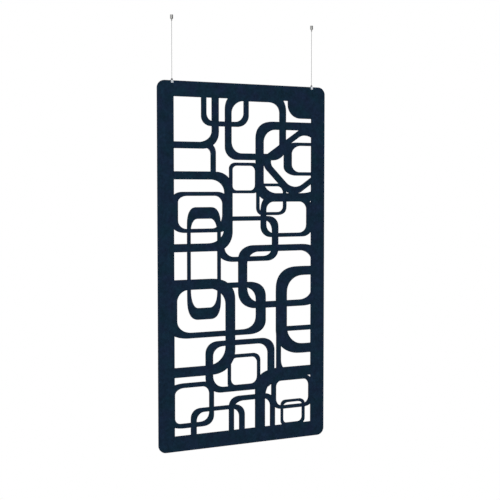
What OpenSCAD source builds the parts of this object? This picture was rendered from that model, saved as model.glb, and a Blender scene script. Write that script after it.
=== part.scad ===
// Hanging room divider: one sheet of pressed felt, cut through with a fretwork
// of overlapping rounded loops, hung from two wires. Each wire runs from a
// ball-lock gripper on the ceiling to a clamp on the sheet's top edge.
// Millimetres, +Z up. The origin lies on the ceiling, midway between the two
// fixings. +X runs to the right as seen from the front, and +Y to the back.

/* [Felt sheet] */
// Width of the sheet
panel_w = 1200; // [900:10:1500]
// Height of the sheet
panel_h = 2400; // [1800:10:2700]
// Thickness of the felt
panel_t = 12; // [9:1:18]
// Radius of the sheet's four outer corners
corner_r = 50; // [10:5:80]
// Width of the solid border left of the fretwork
border_l = 110; // [80:5:150]
// Width of the solid border right of the fretwork
border_r = 100; // [80:5:150]
// Height of the solid border above the fretwork
border_t = 100; // [60:5:150]
// Height of the solid border below the fretwork
border_b = 100; // [60:5:150]
// Extra width of every band of the fretwork
band_extra = 0; // [0:1:8]
// Width of the blade: a narrower gap stays uncut
blade_w = 2; // [1:0.5:4]

/* [Hanging] */
// Distance from the ceiling to the sheet's top edge
drop = 414; // [200:1:1500]
// Distance from each wire to the sheet's edge beside it
wire_inset = 100; // [60:5:250]
// Diameter of the wires
wire_d = 2.4; // [1.5:0.1:2.4]

/* [Ceiling fitting] */
// Diameter of the gripper's housing
housing_d = 19; // [17:0.5:24]
// Height of the ceiling fitting, from the ceiling to the housing's lower face
fitting_h = 26; // [25:1:32]
// Thickness of the base's flange on the ceiling
flange_t = 2; // [1.5:0.5:3]
// Diameter of the base's threaded spigot
spigot_d = 13; // [12:0.5:14]
// Height of the base's threaded spigot
spigot_h = 5; // [4:0.5:6]
// Diameter of the hole for the ceiling screw
screw_hole_d = 4.5; // [3.5:0.1:5]
// Diameter of the release nozzle
nozzle_d = 8; // [7.6:0.2:9]
// Length of the release nozzle below the housing
nozzle_h = 12; // [8:0.5:16]
// Travel of the release nozzle when it is pushed up
nozzle_travel = 2; // [1:0.25:2.5]
// Diameter of the locking balls
lock_ball_d = 2.4; // [2:0.1:2.6]
// Number of locking balls
lock_balls = 3; // [2:1:3]
// Diameter of the gripper spring's own wire
spring_wire_d = 0.7; // [0.5:0.05:0.8]
// Number of turns of the gripper spring
spring_turns = 4; // [3:1:5]

/* [Edge clamp] */
// Width of the clamp along the sheet
clamp_w = 16; // [14:0.5:24]
// Length of the clamp's legs below the sheet's top edge
clamp_leg = 16; // [14:1:30]
// Thickness of the clamp's bridge
bridge_t = 2; // [1.5:0.5:4]
// Thickness of the clamp's front leg
front_leg_t = 1.5; // [1:0.25:3]
// Thickness of the clamp's tapped back leg
back_leg_t = 3; // [2:0.25:5]
// Thickness of the pressure plate behind the sheet
plate_t = 1.2; // [0.8:0.1:2]
// Size of the pressure plate's sides
plate_size = 12; // [9:0.5:13]
// Diameter of the clamp screw
clamp_screw_d = 4; // [3:0.5:5]
// Length of the clamp screw
clamp_screw_l = 5; // [5:0.5:10]
// Height of the cone that holds the wire's end
cone_h = 11; // [10.5:0.5:16]
// Diameter of the cone at its foot
cone_d = 15; // [13:0.5:15.5]
// Diameter of the cone at its top
cone_top_d = 9; // [8:0.5:11]
// Diameter of the ball on the wire's lower end
end_ball_d = 5; // [4.6:0.1:5.2]

/* [Hidden] */
$fn = 48;
eps = 0.01;

// Clearances
thread_gap = 0.1;   // between two threads that are drawn plain
slide_gap = 0.15;   // round the release nozzle
touch_gap = 0.05;   // between a ball and what it bears on
pivot_gap = 0.2;    // above a wire's round end, where the wire bends

// ---- Fretwork of the sheet ------------------------------------------------
// The loops are laid out on a drawing of the sheet that is 1200 by 2400, with
// x to the right and y down from its top left corner. The drawing's window
// is then fitted to the window of the real sheet.
draw_l = 110;
draw_r = 1100;
draw_t = 100;
draw_b = 2300;
win_w = panel_w - border_l - border_r;
win_h = panel_h - border_t - border_b;
panel_top = -drop;
win_l = -panel_w / 2 + border_l;
win_top = panel_top - border_t;
corner_steps = 8;       // straight steps in a rounded corner

// A loop is [outer box, outer corners, inner box, inner corners]. A box is
// [left, top, right, bottom]. Its corners run clockwise from the top left, and
// each is [width, height] or [width, height, squareness]: 2 is an ellipse,
// which is what a corner without a squareness has, and more is squarer.
// SQ is a corner that lies outside the window, where its shape doesn't show.
SQ = [0, 0];
TOP = 40;       // lies above the window
LEFT = 40;      // lies left of the window
RIGHT = 1180;   // lies right of the window
FOOT = 2370;    // lies below the window

LOOPS = [
    // Cup that opens into the top border
    [[299, TOP, 633, 284], [SQ, SQ, [80, 76], [74, 66, 2.1]],
     [334, TOP, 598, 251], [SQ, SQ, [62, 58], [46, 52]]],
    // Corner that runs off at the top left
    [[LEFT, TOP, 420, 431], [SQ, SQ, [108, 106], SQ],
     [LEFT, TOP, 372, 387], [SQ, SQ, [92, 72], SQ]],
    // Corner below it, off the left side
    [[LEFT, 390, 399, 615], [SQ, [56, 68], SQ, SQ],
     [LEFT, 422, 364, 590], [SQ, [46, 42], SQ, SQ]],
    // Wide loop in the middle of the top
    [[465, 72, 907, 501], [[66, 100], [66, 100], [100, 90], [88, 84]],
     [510, 114, 860, 457], [[88, 82], [80, 74, 2.2], [68, 66], [74, 78, 2.1]]],
    // Bold loop off the right side
    [[685, 242, 1270, 775], [[130, 122, 2.45], SQ, SQ, [116, 130, 2.3]],
     [742, 296, 1170, 720], [[90, 86, 2.05], SQ, [142, 74], [96, 83]]],
    // Lying loop off the right side, inside the slanted one
    [[893, 378, 1250, 602], [[88, 66], SQ, SQ, [96, 60]],
     [951, 400, 1230, 578], [[70, 56], SQ, SQ, [58, 54]]],
    // Small square loop
    [[494, 518, 706, 721], [[44, 40], [40, 40], [40, 40], [35, 35]],
     [517, 539, 681, 701], [[30, 28], [32, 36], [34, 36], [30, 28]]],
    // Bold loop off the left side
    [[LEFT, 578, 517, 1100], [SQ, [130, 120, 2.2], [113, 126], SQ],
     [LEFT, 631, 460, 1047], [SQ, [96, 84], [120, 110, 2.3], SQ]],
    // Lying loop at the left border
    [[100, 710, 490, 976], [[70, 42], [84, 62], [70, 56], [84, 52]],
     [137, 737, 446, 950], [[62, 40], [54, 56], [71, 90], [60, 56]]],
    // Tall standing loop at the left
    [[200, 810, 433, 1545], [[64, 118, 2.4], [74, 138, 2.6], [74, 134, 2.5], [76, 145, 2.5]],
     [223, 886, 410, 1469], [[48, 90, 2.2], [47, 90], [54, 110, 2.4], [60, 140, 2.5]]],
    // Fine loop beside the bold one on the right
    [[690, 655, 911, 868], [[50, 50], [66, 66], [76, 57, 2.5], [45, 50]],
     [712, 675, 888, 847], [[30, 30], [40, 45], [40, 38], [30, 30]]],
    // Wide loop at the right border
    [[722, 735, 1112, 1016], [[72, 108, 2.2], [90, 120], [80, 74], [76, 74]],
     [762, 778, 1065, 989], [[54, 53], [54, 54], [60, 57, 2.2], [58, 58]]],
    // Broad loop across the middle, with a leaning top left corner
    [[410, 873, 851, 1174], [[110, 216, 1.15], [80, 75, 2.2], [84, 76], [116, 86, 2.2]],
     [459, 903, 806, 1141], [[61, 175, 1.3], [60, 74, 2.2], [63, 58, 2.1], [70, 66]]],
    // Large loop off the right side
    [[559, 1067, RIGHT, 1491], [[114, 94, 2.15], [150, 96], [150, 76], [136, 121, 2.25]],
     [622, 1111, 1106, 1448], [[80, 80], [93, 78], [96, 74, 2.1], [88, 102, 2.05]]],
    // Tall loop off the left side
    [[LEFT, 1280, 535, 1916], [SQ, [170, 150, 2.35], [174, 154, 2.15], SQ],
     [90, 1344, 468, 1852], [SQ, [126, 108], [120, 116], SQ]],
    // Wide loop from the left border to the middle
    [[75, 1311, 758, 1664], [[80, 60], [128, 108, 2.35], [128, 98, 2.35], [132, 60]],
     [129, 1347, 687, 1628], [[79, 77], [93, 88, 2.2], [104, 92, 2.4], [106, 82, 2.1]]],
    // Boldest loop, off the right side
    [[836, 1219, 1300, 1815], [[165, 157, 2.4], SQ, SQ, [180, 165, 2.2]],
     [916, 1280, 1280, 1751], [[125, 118, 2.2], SQ, SQ, [126, 128, 2.1]]],
    // Square loop low in the middle
    [[326, 1695, 823, 2039], [[96, 86, 2.3], [93, 87, 2.2], [93, 84], [110, 100]],
     [377, 1730, 774, 2003], [[76, 67, 2.15], [79, 71, 2.15], [40, 40], [83, 82, 2.1]]],
    // Fine loop inside it
    [[483, 1792, 718, 2022], [[60, 60], [50, 51, 2.15], [60, 30], [32, 36]],
     [505, 1815, 696, 1998], [[40, 36], [43, 42], [53, 55, 2.4], [40, 42]]],
    // Thin loop off the right side
    [[839, 1626, RIGHT, 1960], [[50, 50], SQ, SQ, [50, 50]],
     [872, 1659, RIGHT - 20, 1925], [[30, 30], SQ, SQ, [47, 76]]],
    // Arch at the bottom right, open at its foot
    [[682, 1906, 1300, FOOT], [[171, 107], SQ, SQ, SQ],
     [753, 1973, 1280, FOOT], [[105, 134], SQ, SQ, SQ]],
    // Lying loop at the bottom right
    [[802, 1965, 1118, 2191], [[60, 60], [74, 84], [81, 57, 2.2], [82, 56]],
     [836, 1997, 1084, 2168], [[37, 41, 2.1], [44, 48, 2.1], [40, 46], [47, 50]]],
    // Fine square loop on the bottom border
    [[873, 2132, 1054, 2308], [[36, 34, 2.15], [39, 35], [42, 40], [30, 32]],
     [890, 2149, 1034, 2290], [[38, 26], [38, 22], [32, 32], [27, 29]]],
    // Loop in the bottom left corner
    [[70, 1956, 383, 2251], [[110, 40], [70, 70], [83, 78, 2.4], [104, 37]],
     [112, 1986, 351, 2221], [[63, 45, 2.1], [52, 53], [70, 66, 2.4], [42, 40]]],
    // Low arch at the bottom left, open at its foot
    [[222, 2129, 604, FOOT], [[74, 72, 2.3], [75, 72, 2.2], SQ, SQ],
     [261, 2156, 565, FOOT], [[54, 55], [53, 57], SQ, SQ]],
    // Arch in the middle of the bottom, open at its foot
    [[491, 2073, 828, FOOT], [[78, 73, 2.25], [81, 65], SQ, SQ],
     [526, 2106, 793, FOOT], [[68, 46], [56, 56, 1.95], SQ, SQ]]
];

// Solid block in the top right corner
BLOCK = [923, TOP, RIGHT, 216];
BLOCK_CORNERS = [SQ, SQ, SQ, [95, 92]];

// The slanted loop, as a loop about its own centre on two leaning axes
SLANT_CENTRE = [975, 500];
SLANT_RISE = 34.7;      // lean of its long axis, up to the right
SLANT_FALL = 45.5;      // lean of its short axis, down to the right
SLANT = [[-199, -153, 259, 204], [[90, 90], [90, 90], [90, 90], [90, 90]],
         [-153, -114, 208, 167], [[57, 60], [76, 86], [75, 75], [80, 80]]];

// Points of one corner, about its centre c, from angle a on by a quarter turn
function corner(c, size, a) =
    size[0] == 0 ? [c]
    : let (n = len(size) > 2 ? size[2] : 2)
      [for (i = [0:corner_steps])
          let (t = a + 90 * i / corner_steps)
          c + [size[0] * sign(cos(t)) * pow(abs(cos(t)), 2 / n),
               size[1] * sign(sin(t)) * pow(abs(sin(t)), 2 / n)]];

// Outline of a box with four corners, each as wide as it says
function outline(b, k) = concat(
    corner([b[0] + k[0][0], b[1] + k[0][1]], k[0], 180),
    corner([b[2] - k[1][0], b[1] + k[1][1]], k[1], 270),
    corner([b[2] - k[2][0], b[3] - k[2][1]], k[2], 0),
    corner([b[0] + k[3][0], b[3] - k[3][1]], k[3], 90));

// Points of the slanted loop's leaning axes, on the drawing
function leaning(pts) = [for (p = pts)
    SLANT_CENTRE + p[0] * [cos(SLANT_RISE), -sin(SLANT_RISE)]
                 + p[1] * [cos(SLANT_FALL), sin(SLANT_FALL)]];

// Points of the drawing, on the real sheet
function on_sheet(pts) = [for (p = pts)
    [win_l + (p[0] - draw_l) * win_w / (draw_r - draw_l),
     win_top - (p[1] - draw_t) * win_h / (draw_b - draw_t)]];

// One band, between its outer and its inner outline
module band(outer, inner) {
    count_out = len(outer);
    count_in = len(inner);
    polygon(
        points = on_sheet(concat(outer, inner)),
        paths = [[for (i = [0:count_out - 1]) i],
                 [for (i = [0:count_in - 1]) count_out + i]]);
}

module fretwork() {
    for (loop = LOOPS)
        band(outline(loop[0], loop[1]), outline(loop[2], loop[3]));
    band(leaning(outline(SLANT[0], SLANT[1])), leaning(outline(SLANT[2], SLANT[3])));
    polygon(on_sheet(outline(BLOCK, BLOCK_CORNERS)));
}

// Whole sheet without its holes, and the window that holds the fretwork
module sheet_outline() {
    edge = [-panel_w / 2, panel_top - panel_h, panel_w / 2, panel_top];
    polygon(outline(edge, [for (i = [0:3]) [corner_r, corner_r]]));
}

module window_outline() {
    translate([win_l, win_top - win_h])
        square([win_w, win_h]);
}

// Sheet's face, seen from the front: x to the right, y up. What the blade cuts
// out is the window less the fretwork, and it leaves a gap closed that is
// narrower than the blade.
module sheet_face() {
    difference() {
        sheet_outline();
        offset(delta = blade_w / 2)
            offset(delta = -(blade_w + band_extra) / 2)
                difference() {
                    window_outline();
                    fretwork();
                }
    }
}

// The felt sheet, with its front face at -Y
module panel() {
    color([0.09, 0.14, 0.20])
        translate([0, panel_t / 2, 0])
            rotate([90, 0, 0])
                linear_extrude(panel_t)
                    sheet_face();
}

// ---- Ceiling fitting ------------------------------------------------------
wire_r = wire_d / 2;
ball_r = lock_ball_d / 2;
spigot_foot = -flange_t - spigot_h;
housing_foot = -fitting_h;
nozzle_foot = housing_foot - nozzle_h;

// The nozzle's wide tube runs in the housing's mouth, up to its shoulder. It
// needs its travel free above the shoulder.
nozzle_shoulder = housing_foot + 3;
mouth_top = nozzle_shoulder + nozzle_travel + slide_gap;
mouth_r = nozzle_d / 2 + slide_gap;

// Above the mouth the housing's bore is a cone, which presses the balls
// against the wire when the wire pulls down
lock_low_r = 3.3;
lock_slope = 15;
lock_h = 4.8;
lock_top = mouth_top + lock_h;
lock_top_r = lock_low_r + lock_h * tan(lock_slope);
// Balls bear on the wire inside and on the cone outside
ball_ring_r = wire_r + ball_r + touch_gap;
ball_z = mouth_top
    + (ball_ring_r + (ball_r + touch_gap) / cos(lock_slope) - lock_low_r) / tan(lock_slope);

// Spring chamber over the cone
chamber_r = 5.5;
collar_r = chamber_r - 0.3;
collar_t = 1.5;
collar_foot = lock_top + 0.2;
collar_top = collar_foot + collar_t;
cage_r = min(lock_low_r - 0.25, ball_ring_r + ball_r * 0.6);
nozzle_bore_r = wire_r + 0.25;
spring_r = chamber_r - 0.2 - spring_wire_d / 2 - 0.25;
head_seat_r = spring_r - spring_wire_d / 2 - 0.2;
held_wire_top = collar_top + 0.8;

// Threaded base: a flange and a spigot, with a countersunk hole for the screw
module ceiling_base() {
    sink_h = head_seat_r - screw_hole_d / 2;
    color([0.62, 0.63, 0.64])
        difference() {
            union() {
                translate([0, 0, -flange_t])
                    cylinder(h = flange_t, d = housing_d);
                translate([0, 0, spigot_foot])
                    cylinder(h = spigot_h + eps, d = spigot_d);
            }
            translate([0, 0, spigot_foot - 1])
                cylinder(h = flange_t + spigot_h + 2, d = screw_hole_d);
            translate([0, 0, spigot_foot])
                cylinder(h = sink_h, r1 = head_seat_r, r2 = screw_hole_d / 2);
        }
}

// Housing of the gripper, screwed up over the base's spigot
module gripper_housing() {
    thread_r = spigot_d / 2 + thread_gap;
    color([0.60, 0.61, 0.63])
        translate([0, 0, housing_foot])
            rotate_extrude()
                difference() {
                    polygon([
                        [0, 0],
                        [housing_d / 2 - 0.6, 0],
                        [housing_d / 2, 0.6],
                        [housing_d / 2, fitting_h - flange_t],
                        [0, fitting_h - flange_t]
                    ]);
                    square([mouth_r, mouth_top - housing_foot]);
                    polygon([
                        [0, mouth_top - housing_foot - eps],
                        [lock_low_r, mouth_top - housing_foot - eps],
                        [lock_top_r, lock_top - housing_foot],
                        [chamber_r, lock_top - housing_foot],
                        [chamber_r, spigot_foot - 0.3 - housing_foot],
                        [thread_r, spigot_foot - 0.3 - housing_foot],
                        [thread_r, fitting_h],
                        [0, fitting_h]
                    ]);
                }
}

// Release nozzle: the wide tube that is pushed up, the cage of the balls and
// the collar under the spring
module release_nozzle() {
    color([0.66, 0.67, 0.68])
        difference() {
            rotate_extrude()
                polygon([
                    [nozzle_bore_r + 0.3, nozzle_foot],
                    [nozzle_d / 2 - 0.4, nozzle_foot],
                    [nozzle_d / 2, nozzle_foot + 0.4],
                    [nozzle_d / 2, nozzle_shoulder],
                    [cage_r, nozzle_shoulder],
                    [cage_r, collar_foot],
                    [collar_r, collar_foot],
                    [collar_r, collar_top],
                    [nozzle_bore_r, collar_top],
                    [nozzle_bore_r, nozzle_foot + 0.3]
                ]);
            for (i = [0:lock_balls - 1])
                rotate([0, 0, 360 * i / lock_balls])
                    translate([wire_r - 0.5, 0, ball_z])
                        rotate([0, 90, 0])
                            cylinder(h = cage_r, r = ball_r + touch_gap);
        }
}

// Hardened balls between the wire and the housing's cone
module lock_ball_set() {
    color([0.80, 0.81, 0.82])
        for (i = [0:lock_balls - 1])
            rotate([0, 0, 360 * i / lock_balls])
                translate([ball_ring_r, 0, ball_z])
                    sphere(r = ball_r);
}

// Spring between the nozzle's collar and the base's spigot: one tube of
// 6 sides along a helix, with straight flat ends
spring_sides = 6;
spring_rings = 8;
function ring(c, along, out, r) =
    let (side = cross(along, out))
    [for (j = [0:spring_sides - 1])
        let (a = 360 * j / spring_sides)
        c + r * cos(a) * out + r * sin(a) * side];
function unit(v) = v / norm(v);

module gripper_spring() {
    low = collar_top + spring_wire_d / 2 + 0.05;
    high = spigot_foot - spring_wire_d / 2 - 0.05;
    count = spring_turns * spring_rings;
    lead = (high - low) / (2 * PI * spring_r * spring_turns);
    pts = [for (i = [0:count])
        let (a = 360 * i / spring_rings, out = [cos(a), sin(a), 0])
        each ring(
            spring_r * out + [0, 0, low + (high - low) * i / count],
            unit([-sin(a), cos(a), lead]), out, spring_wire_d / 2)];
    sides = [for (i = [0:count - 1], j = [0:spring_sides - 1])
        let (k = (j + 1) % spring_sides, p = i * spring_sides, q = p + spring_sides)
        each [[p + j, q + k, p + k], [p + j, q + j, q + k]]];
    first = [for (j = [1:spring_sides - 2]) [0, j, j + 1]];
    last_ring = count * spring_sides;
    last = [for (j = [1:spring_sides - 2])
        [last_ring, last_ring + j + 1, last_ring + j]];
    color([0.72, 0.72, 0.70])
        polyhedron(points = pts, faces = concat(first, sides, last));
}

// ---- Wire -----------------------------------------------------------------
// Below the nozzle the wire bends: forwards and back at the first pivot, and
// to the sides at the second one
swing_z = nozzle_foot - wire_r - pivot_gap;
bend_l = 6;
sway_z = swing_z - bend_l;

// Length of wire that the gripper holds
module wire_held_end() {
    color([0.55, 0.56, 0.58])
        translate([0, 0, nozzle_foot])
            cylinder(h = held_wire_top - nozzle_foot, d = wire_d, $fn = 24);
}

// A stretch of wire with a round top end, whose centre is where it bends
module wire_length(top_z, foot_z) {
    color([0.55, 0.56, 0.58])
        translate([0, 0, foot_z])
            rotate_extrude($fn = 24)
                intersection() {
                    union() {
                        square([wire_r, top_z - foot_z]);
                        translate([0, top_z - foot_z])
                            circle(r = wire_r);
                    }
                    square([wire_d, top_z - foot_z + wire_d]);
                }
}

module wire_bend() {
    wire_length(swing_z, sway_z + wire_r + pivot_gap);
}

module wire() {
    wire_length(sway_z, end_ball_z + end_ball_r + touch_gap);
}

// Ball on the wire's lower end. The wire bends where it leaves the ball.
module wire_ball_end() {
    color([0.70, 0.71, 0.72])
        translate([0, 0, end_ball_z])
            sphere(r = end_ball_r);
}

// ---- Edge clamp -----------------------------------------------------------
half_t = panel_t / 2;
bridge_top = panel_top + bridge_t;
cone_top = bridge_top + cone_h;
end_ball_r = end_ball_d / 2;
end_ball_z = cone_top - 4.5;
stud_r = 4.4;
stud_top = end_ball_z - end_ball_r - 0.3;
rivet_r = 2.5;
plate_play = 0.2;
back_face = half_t + plate_t + plate_play;
screw_z = panel_top - clamp_leg / 2 - 1;

// Cone over the clamp's stud. The wire's ball bears on its seat from below,
// and its mouth leaves the wire room to lean.
module cone_cap() {
    seat_low_r = end_ball_r + 0.6;
    neck_r = wire_r + 0.8;
    lean_r = wire_r + 1.4;
    // Height at which a 38 degree seat clears the ball by touch_gap
    seat_slope = 38;
    seat_foot = end_ball_z
        + (end_ball_r + 3 * touch_gap) / sin(seat_slope)
        - seat_low_r / tan(seat_slope);
    seat_top = seat_foot + (seat_low_r - neck_r) / tan(seat_slope);
    color([0.74, 0.75, 0.76])
        rotate_extrude()
            difference() {
                polygon([
                    [0, bridge_top],
                    [cone_d / 2, bridge_top],
                    [cone_d / 2, bridge_top + 1.2],
                    [cone_top_d / 2, cone_top - 0.6],
                    [cone_top_d / 2 - 0.5, cone_top],
                    [0, cone_top]
                ]);
                polygon([
                    [0, bridge_top - eps],
                    [stud_r + thread_gap, bridge_top - eps],
                    [stud_r + thread_gap, stud_top],
                    [seat_low_r, stud_top],
                    [seat_low_r, seat_foot],
                    [neck_r, seat_top],
                    [lean_r, cone_top + eps],
                    [0, cone_top + eps]
                ]);
            }
}

// Stud that the cone screws onto, riveted into the bridge
module clamp_stud() {
    color([0.70, 0.71, 0.72]) {
        translate([0, 0, bridge_top])
            cylinder(h = stud_top - bridge_top, r = stud_r);
        translate([0, 0, panel_top])
            cylinder(h = bridge_t + eps, r = rivet_r);
    }
}

// Outline of a sheet-metal leg, with its two lower corners rounded
module leg_outline(w, h, r) {
    translate([-w / 2, -h + r])
        square([w, h - r]);
    translate([-w / 2 + r, -h])
        square([w - 2 * r, r + eps]);
    for (s = [-1, 1])
        translate([s * (w / 2 - r), -h + r])
            circle(r = r);
}

// Clamp that straddles the sheet's top edge
module clamp_bracket() {
    leg_r = 2;
    depth = half_t + front_leg_t + back_face + back_leg_t;
    color([0.93, 0.94, 0.95])
        difference() {
            union() {
                translate([-clamp_w / 2, -half_t - front_leg_t, panel_top])
                    cube([clamp_w, depth, bridge_t]);
                translate([0, -half_t, panel_top + eps])
                    rotate([90, 0, 0])
                        linear_extrude(front_leg_t)
                            leg_outline(clamp_w, clamp_leg + eps, leg_r);
                translate([0, back_face + back_leg_t, panel_top + eps])
                    rotate([90, 0, 0])
                        linear_extrude(back_leg_t)
                            leg_outline(clamp_w, clamp_leg + eps, leg_r);
            }
            translate([0, 0, panel_top - 1])
                cylinder(h = bridge_t + 2, r = rivet_r + touch_gap);
            translate([0, back_face - 1, screw_z])
                rotate([-90, 0, 0])
                    cylinder(h = back_leg_t + 2, d = clamp_screw_d + 2 * touch_gap);
        }
}

// Plate between the screw and the felt
module pressure_plate() {
    color([0.66, 0.67, 0.68])
        translate([0, half_t + plate_t, screw_z + plate_size / 2])
            rotate([90, 0, 0])
                linear_extrude(plate_t)
                    leg_outline(plate_size, plate_size, 1.5);
}

// Headless screw with a hexagon socket, through the back leg
module clamp_screw() {
    socket_across = clamp_screw_d / 2;
    socket_depth = clamp_screw_l * 0.4;
    color([0.45, 0.46, 0.47])
        translate([0, half_t + plate_t, screw_z])
            rotate([-90, 0, 0])
                difference() {
                    cylinder(h = clamp_screw_l, d = clamp_screw_d);
                    translate([0, 0, clamp_screw_l - socket_depth])
                        cylinder(h = socket_depth + 1, d = socket_across / cos(30), $fn = 6);
                }
}

// ---- Both sides -----------------------------------------------------------
wire_spacing = panel_w - 2 * wire_inset;

module at_left() {
    translate([-wire_spacing / 2, 0, 0])
        children();
}

module at_right() {
    translate([wire_spacing / 2, 0, 0])
        children();
}

panel();
at_left() ceiling_base();  // left_ceiling_base
at_right() ceiling_base();  // right_ceiling_base
at_left() gripper_housing();  // left_gripper_housing
at_right() gripper_housing();  // right_gripper_housing
at_left() gripper_spring();  // left_gripper_spring
at_right() gripper_spring();  // right_gripper_spring
at_left() release_nozzle();  // left_release_nozzle
at_right() release_nozzle();  // right_release_nozzle
at_left() lock_ball_set();  // left_lock_balls
at_right() lock_ball_set();  // right_lock_balls
at_left() wire_held_end();  // left_wire_held_end
at_right() wire_held_end();  // right_wire_held_end
at_left() wire_bend();  // left_wire_bend
at_right() wire_bend();  // right_wire_bend
at_left() wire();  // left_wire
at_right() wire();  // right_wire
at_left() wire_ball_end();  // left_wire_ball_end
at_right() wire_ball_end();  // right_wire_ball_end
at_left() cone_cap();  // left_cone_cap
at_right() cone_cap();  // right_cone_cap
at_left() clamp_stud();  // left_clamp_stud
at_right() clamp_stud();  // right_clamp_stud
at_left() clamp_bracket();  // left_clamp_bracket
at_right() clamp_bracket();  // right_clamp_bracket
at_left() pressure_plate();  // left_pressure_plate
at_right() pressure_plate();  // right_pressure_plate
at_left() clamp_screw();  // left_clamp_screw
at_right() clamp_screw();  // right_clamp_screw
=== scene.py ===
"""Dressed model of a hanging room divider: one sheet of pressed felt, cut through
with a fretwork, on two thin wires that run from ceiling grippers to edge clamps.

Metres, in the frame of the CAD model: the origin lies on the ceiling, midway
between the two fixings. X runs to the right, Y to the back and Z up.
"""
import math

import bmesh
import bpy
from mathutils import Matrix, Vector


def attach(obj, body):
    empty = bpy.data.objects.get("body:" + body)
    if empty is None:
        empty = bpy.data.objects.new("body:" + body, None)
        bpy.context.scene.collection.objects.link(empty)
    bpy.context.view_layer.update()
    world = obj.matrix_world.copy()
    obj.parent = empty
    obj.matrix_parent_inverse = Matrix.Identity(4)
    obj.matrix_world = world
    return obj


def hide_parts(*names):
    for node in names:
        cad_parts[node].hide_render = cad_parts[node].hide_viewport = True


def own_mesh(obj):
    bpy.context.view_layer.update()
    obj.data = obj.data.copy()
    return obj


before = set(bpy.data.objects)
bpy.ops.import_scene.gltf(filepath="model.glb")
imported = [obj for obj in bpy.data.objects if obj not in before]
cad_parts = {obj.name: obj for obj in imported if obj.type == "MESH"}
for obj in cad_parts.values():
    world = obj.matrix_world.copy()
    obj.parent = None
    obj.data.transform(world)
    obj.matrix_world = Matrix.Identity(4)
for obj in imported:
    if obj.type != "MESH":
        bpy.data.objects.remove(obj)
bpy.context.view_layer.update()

# ---- Camera -----------------------------------------------------------------
# The sheet is seen from its front left, about a metre below the ceiling, through
# a moderate tele lens. A small shift lets the camera stay almost level.
CAMERA_AT = (-2.3926, -5.5699, -1.1039)
LOOKS_DOWN, TURNS_RIGHT = 2.749, 23.625     # degrees


def placed(name, data):
    """A new object in the scene, at the origin."""
    thing = bpy.data.objects.new(name, data)
    bpy.context.scene.collection.objects.link(thing)
    return thing


camera = placed("camera", bpy.data.cameras.new("camera"))
camera.location = CAMERA_AT
camera.rotation_euler = (math.radians(90 - LOOKS_DOWN), 0, math.radians(-TURNS_RIGHT))
camera.data.sensor_width = 36
camera.data.lens = 65.77
camera.data.shift_y = -0.035
bpy.context.scene.camera = camera

# ---- Wires ------------------------------------------------------------------
# Each wire is 2.4 mm stainless strand: six strands laid round a straight core, of
# seven fine wires each. A ball-lock gripper on the ceiling holds its upper end,
# and a ball pressed on its lower end sits in the clamp on the sheet.
SIDES = {"left": -0.5, "right": 0.5}
MM = 0.001
WIRE_D = 2.4 * MM
WIRE_LAY = 13 * MM          # length of one turn of a strand
STRANDS = 6
FINE_WIRES = 6              # round the core of each strand
FINE_TWIST = 2600           # their turning along it, in radians per metre
HELD_TOP_Z = -13.55 * MM    # upper end, above the gripper's balls
SWING_Z = -39.4 * MM        # where it swings forwards and back
SWAY_Z = -45.4 * MM         # where it sways to the sides
WIRE_FOOT_Z = -403.1 * MM   # in the ball
LAP = 0.2 * MM              # by which each stretch runs on past where it bends


def add(tree, kind, inputs=None, **settings):
    """A node of that kind. Its inputs are plain values or outputs of other nodes."""
    made = tree.nodes.new(kind)
    for name, value in settings.items():
        setattr(made, name, value)
    for key, value in (inputs or {}).items():
        if isinstance(value, bpy.types.NodeSocket):
            tree.links.new(value, made.inputs[key])
        else:
            made.inputs[key].default_value = value
    return made


def calc(tree, operation, *values):
    """Output of a Math node."""
    return add(tree, "ShaderNodeMath", dict(enumerate(values)), operation=operation).outputs[0]


def calc_vector(tree, operation, *values):
    """Output of a Vector Math node."""
    return add(
        tree, "ShaderNodeVectorMath", dict(enumerate(values)), operation=operation).outputs[0]


def bumped(tree, height, distance, strength, normal=None):
    """Normal of a surface with that relief, in metres, on top of another normal if given."""
    inputs = {"Height": height, "Distance": distance, "Strength": strength}
    if normal is not None:
        inputs["Normal"] = normal
    return add(tree, "ShaderNodeBump", inputs).outputs[0]


def new_group(name, kind, inputs, outputs):
    """A node group with named sockets, and the outputs of its Group Input node."""
    tree = bpy.data.node_groups.new(name, kind)
    for direction, sockets in (("INPUT", inputs), ("OUTPUT", outputs)):
        for label, socket in sockets.items():
            tree.interface.new_socket(
                name=label, in_out=direction, socket_type="NodeSocket" + socket)
    return tree, tree.nodes.new("NodeGroupInput").outputs


def put_out(tree, **values):
    """Links values to the group's outputs, which are named alike."""
    end = tree.nodes.new("NodeGroupOutput")
    for name, value in values.items():
        tree.links.new(value, end.inputs[name])


def put_out_piece(tree, geometry, spot, material, rotation=(0, 0, 0)):
    """Ends a geometry tree: moved to its spot, made real and given its material."""
    moved = add(tree, "GeometryNodeTransform", {
        "Geometry": geometry, "Translation": spot, "Rotation": rotation}).outputs[0]
    real = add(tree, "GeometryNodeRealizeInstances", {0: moved}).outputs[0]
    put_out(tree, Geometry=add(tree, "GeometryNodeSetMaterial", {
        "Geometry": real, "Material": material}).outputs[0])


def made_mesh(thing):
    """The plain mesh that an object's curve or modifiers make."""
    return bpy.data.meshes.new_from_object(
        thing.evaluated_get(bpy.context.evaluated_depsgraph_get()))


def keep_made(thing):
    """Swaps a piece's mesh for what its modifiers make of it."""
    mesh = made_mesh(thing)
    thing.modifiers.clear()
    thing.data = mesh


def grown(name, tree, values):
    """A plain mesh object, as the geometry tree makes it with those values."""
    thing = placed(name, bpy.data.meshes.new(name))
    modifier = thing.modifiers.new("form", "NODES")
    modifier.node_group = tree
    for item in tree.interface.items_tree:
        if item.in_out == "INPUT" and item.name in values:
            modifier[item.identifier] = values[item.name]
    keep_made(thing)
    return thing


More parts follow.
